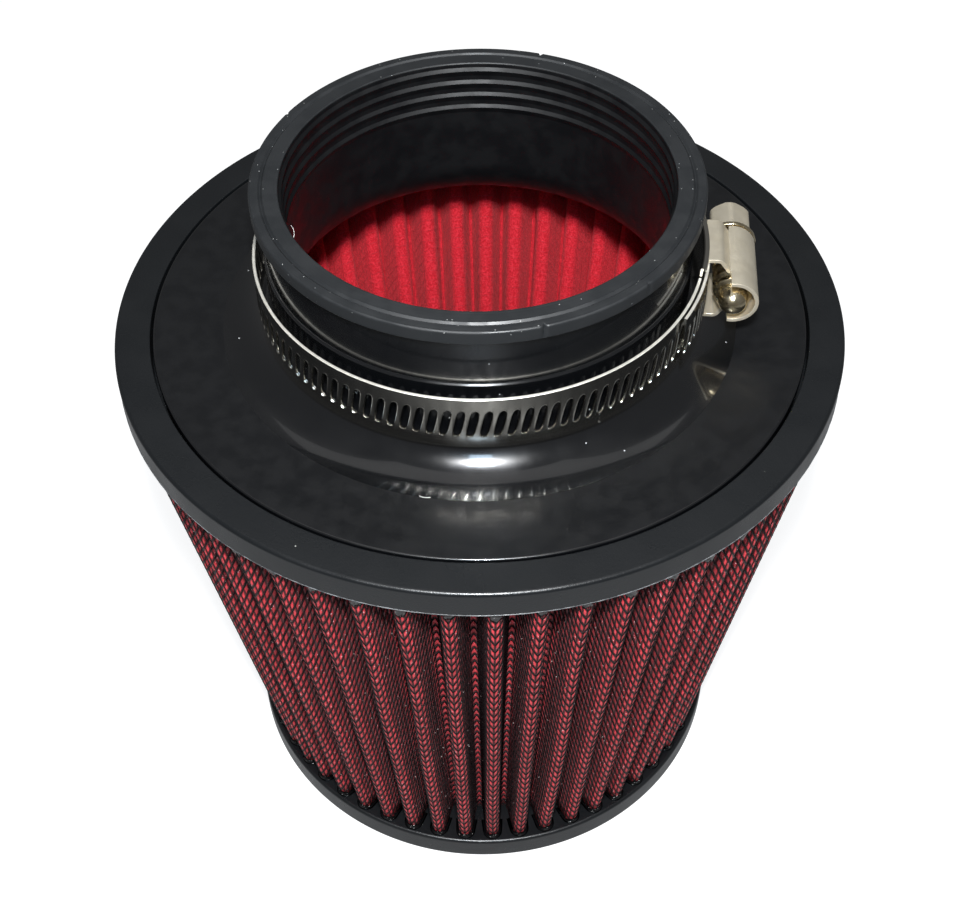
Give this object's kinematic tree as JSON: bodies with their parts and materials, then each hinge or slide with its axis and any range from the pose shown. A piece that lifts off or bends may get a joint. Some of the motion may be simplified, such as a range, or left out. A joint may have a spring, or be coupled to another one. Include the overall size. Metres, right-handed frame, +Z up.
{
  "type": "air filter",
  "caption": "Clamp-on cone air filter: pleated red cotton element between cast end rings, rubber neck with a ribbed bore, and a loose worm-drive hose clamp.",
  "frame": {"origin": "centre of the closed end's underside, on the surface the filter stands on", "axes": "+Z up along the filter's axis, from the closed end to the neck; +X towards the side where the clamp's screw housing sits at rest, which is turned 4.7 degrees from it towards -Y"},
  "size_m": [0.152, 0.152, 0.1627],
  "materials": {
    "cast_urethane": "satin cast",
    "moulded_rubber": "glossy moulded",
    "wire_screen": "epoxy coated wire mesh",
    "red_cotton": "oiled cotton gauze",
    "black_plate": "satin painted",
    "stainless_band": "bright rolled",
    "nickel_pressing": "satin nickel",
    "nickel_screw": "bright nickel"
  },
  "bodies": {
    "filter": {"top_end_ring": "cast_urethane", "neck_flange": "moulded_rubber", "outer_screen": "wire_screen", "pleat_pack": "red_cotton", "inner_screen": "wire_screen", "seam_strip": "cast_urethane", "base_end_ring": "cast_urethane", "base_plate": "black_plate"},
    "clamp": {"clamp_band": "stainless_band", "clamp_saddle": "nickel_pressing", "clamp_housing": "nickel_pressing"},
    "screw": {"clamp_screw": "nickel_screw"},
    "tail": {"band_tail": "stainless_band"}
  },
  "joints": [
    {"name": "clamp_swivel", "type": "hinge", "parent": "filter", "child": "clamp", "pos_m": [0, 0, 0.14045], "axis": [0, 0, 1], "continuous": true},
    {"name": "screw_turn", "type": "hinge", "parent": "clamp", "child": "screw", "pos_m": [0.05133, -0.00422, 0.14045], "axis": [-0.0819, -0.9966, 0], "range_deg": [-360, 1620]},
    {"name": "tail_feed", "type": "hinge", "parent": "clamp", "child": "tail", "pos_m": [0, 0, 0.14045], "axis": [0, 0, 1], "range_deg": [-3.2, 14.2]}
  ],
  "couplings": [
    {"joint": "tail_feed", "follows": "screw_turn", "ratio": 0.008722}
  ]
}
